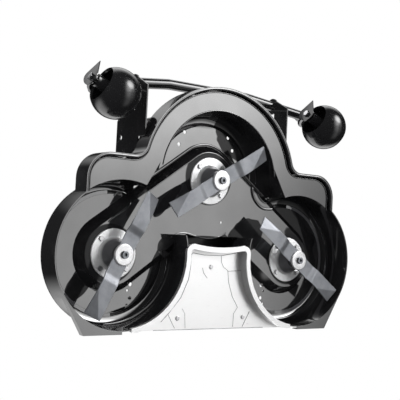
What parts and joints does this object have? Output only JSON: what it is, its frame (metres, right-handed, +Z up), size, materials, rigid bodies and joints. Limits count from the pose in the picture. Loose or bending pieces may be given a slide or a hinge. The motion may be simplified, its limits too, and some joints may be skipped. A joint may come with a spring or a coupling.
{
  "type": "lawn mower deck",
  "caption": "Black pressed mower deck with spindles, dished blades, belt drive, a bright tray under its rear discharge tunnel, and a front tube on swivelling ball casters",
  "frame": {"origin": "middle of the bounding box in X and Y, at the ground under the ball wheels", "axes": "+X across the machine, +Y forward, +Z up"},
  "size_m": [1.242, 0.8715, 0.296],
  "materials": {
    "shell_black": "black gloss enamel",
    "tray_steel": "bright pressed steel",
    "liner_black": "matt black",
    "zinc_fastener": "zinc plated",
    "flange_steel": "bright machined",
    "bearing_steel": "ground",
    "shaft_steel": "turned",
    "blade_steel": "satin blue-grey",
    "washer_chrome": "polished",
    "bolt_dark": "dark oxide",
    "pulley_steel": "grey paint",
    "belt_rubber": "matt",
    "bracket_black": "black paint",
    "tube_black": "black gloss paint",
    "cover_plastic": "moulded, fine grain",
    "caster_black": "black paint",
    "wheel_gloss": "black gloss",
    "wheel_bolt_zinc": "bright plated"
  },
  "bodies": {
    "deck": {"deck_shell": "shell_black", "tunnel_tray": "tray_steel", "tunnel_liner": "liner_black", "tray_screws": "zinc_fastener", "spindle_housing_l": "flange_steel", "spindle_housing_c": "flange_steel", "spindle_housing_r": "flange_steel", "flange_bolts_l": "zinc_fastener", "flange_bolts_c": "zinc_fastener", "flange_bolts_r": "zinc_fastener", "bearings_l": "bearing_steel", "bearings_c": "bearing_steel", "bearings_r": "bearing_steel", "deck_belt": "belt_rubber", "idler_pivot_bolt": "zinc_fastener", "belt_cover_l": "cover_plastic", "belt_cover_r": "cover_plastic", "cover_screws_l": "zinc_fastener", "cover_screws_r": "zinc_fastener", "front_tube": "tube_black", "front_bracket_l": "bracket_black", "front_bracket_r": "bracket_black", "bracket_stay_l": "bracket_black", "bracket_stay_r": "bracket_black", "rear_hanger_l": "bracket_black", "rear_hanger_r": "bracket_black"},
    "spindle_l": {"spindle_shaft_l": "shaft_steel", "blade_l": "blade_steel", "blade_washer_l": "washer_chrome", "blade_bolt_l": "bolt_dark", "pulley_l": "pulley_steel", "pulley_nut_l": "zinc_fastener"},
    "spindle_c": {"spindle_shaft_c": "shaft_steel", "blade_c": "blade_steel", "blade_washer_c": "washer_chrome", "blade_bolt_c": "bolt_dark", "pulley_c": "pulley_steel", "pulley_nut_c": "zinc_fastener"},
    "spindle_r": {"spindle_shaft_r": "shaft_steel", "blade_r": "blade_steel", "blade_washer_r": "washer_chrome", "blade_bolt_r": "bolt_dark", "pulley_r": "pulley_steel", "pulley_nut_r": "zinc_fastener"},
    "idler": {"idler_arm": "bracket_black", "idler_bolt": "zinc_fastener"},
    "idler_wheel": {"idler_pulley": "pulley_steel"},
    "caster_l": {"caster_arm_l": "caster_black", "caster_nut_l": "zinc_fastener", "wheel_bolt_l": "wheel_bolt_zinc", "keeper_plate_l": "caster_black"},
    "wheel_l": {"ball_wheel_l": "wheel_gloss"},
    "caster_r": {"caster_arm_r": "caster_black", "caster_nut_r": "zinc_fastener", "wheel_bolt_r": "wheel_bolt_zinc", "keeper_plate_r": "caster_black"},
    "wheel_r": {"ball_wheel_r": "wheel_gloss"}
  },
  "joints": [
    {"name": "spin_c", "type": "hinge", "parent": "deck", "child": "spindle_c", "pos_m": [0, 0.08925, 0.07], "axis": [0, 0, 1], "continuous": true},
    {"name": "spin_l", "type": "hinge", "parent": "deck", "child": "spindle_l", "pos_m": [0.375, -0.18075, 0.07], "axis": [0, 0, 1], "continuous": true},
    {"name": "spin_r", "type": "hinge", "parent": "deck", "child": "spindle_r", "pos_m": [-0.375, -0.18075, 0.07], "axis": [0, 0, 1], "continuous": true},
    {"name": "idler_swing", "type": "hinge", "parent": "deck", "child": "idler", "pos_m": [0.19, -0.21075, 0.225], "axis": [0, 0, 1], "range_deg": [-12, 0]},
    {"name": "idler_spin", "type": "hinge", "parent": "idler", "child": "idler_wheel", "pos_m": [0.06, -0.26275, 0.239], "axis": [0, 0, 1], "continuous": true},
    {"name": "swivel_l", "type": "hinge", "parent": "deck", "child": "caster_l", "pos_m": [0.456, 0.38525, 0.19], "axis": [0, 0, 1], "continuous": true},
    {"name": "swivel_r", "type": "hinge", "parent": "deck", "child": "caster_r", "pos_m": [-0.456, 0.38525, 0.19], "axis": [0, 0, 1], "continuous": true},
    {"name": "roll_l", "type": "hinge", "parent": "caster_l", "child": "wheel_l", "pos_m": [0.43527, 0.33412, 0.084], "axis": [0.9107, 0.4131, 0], "continuous": true},
    {"name": "roll_r", "type": "hinge", "parent": "caster_r", "child": "wheel_r", "pos_m": [-0.47673, 0.33412, 0.084], "axis": [0.9107, 0.4131, 0], "continuous": true}
  ],
  "couplings": [
    {"joint": "spin_l", "follows": "spin_c", "ratio": 1},
    {"joint": "spin_r", "follows": "spin_c", "ratio": 1},
    {"joint": "idler_spin", "follows": "spin_c", "ratio": 2.0738}
  ]
}
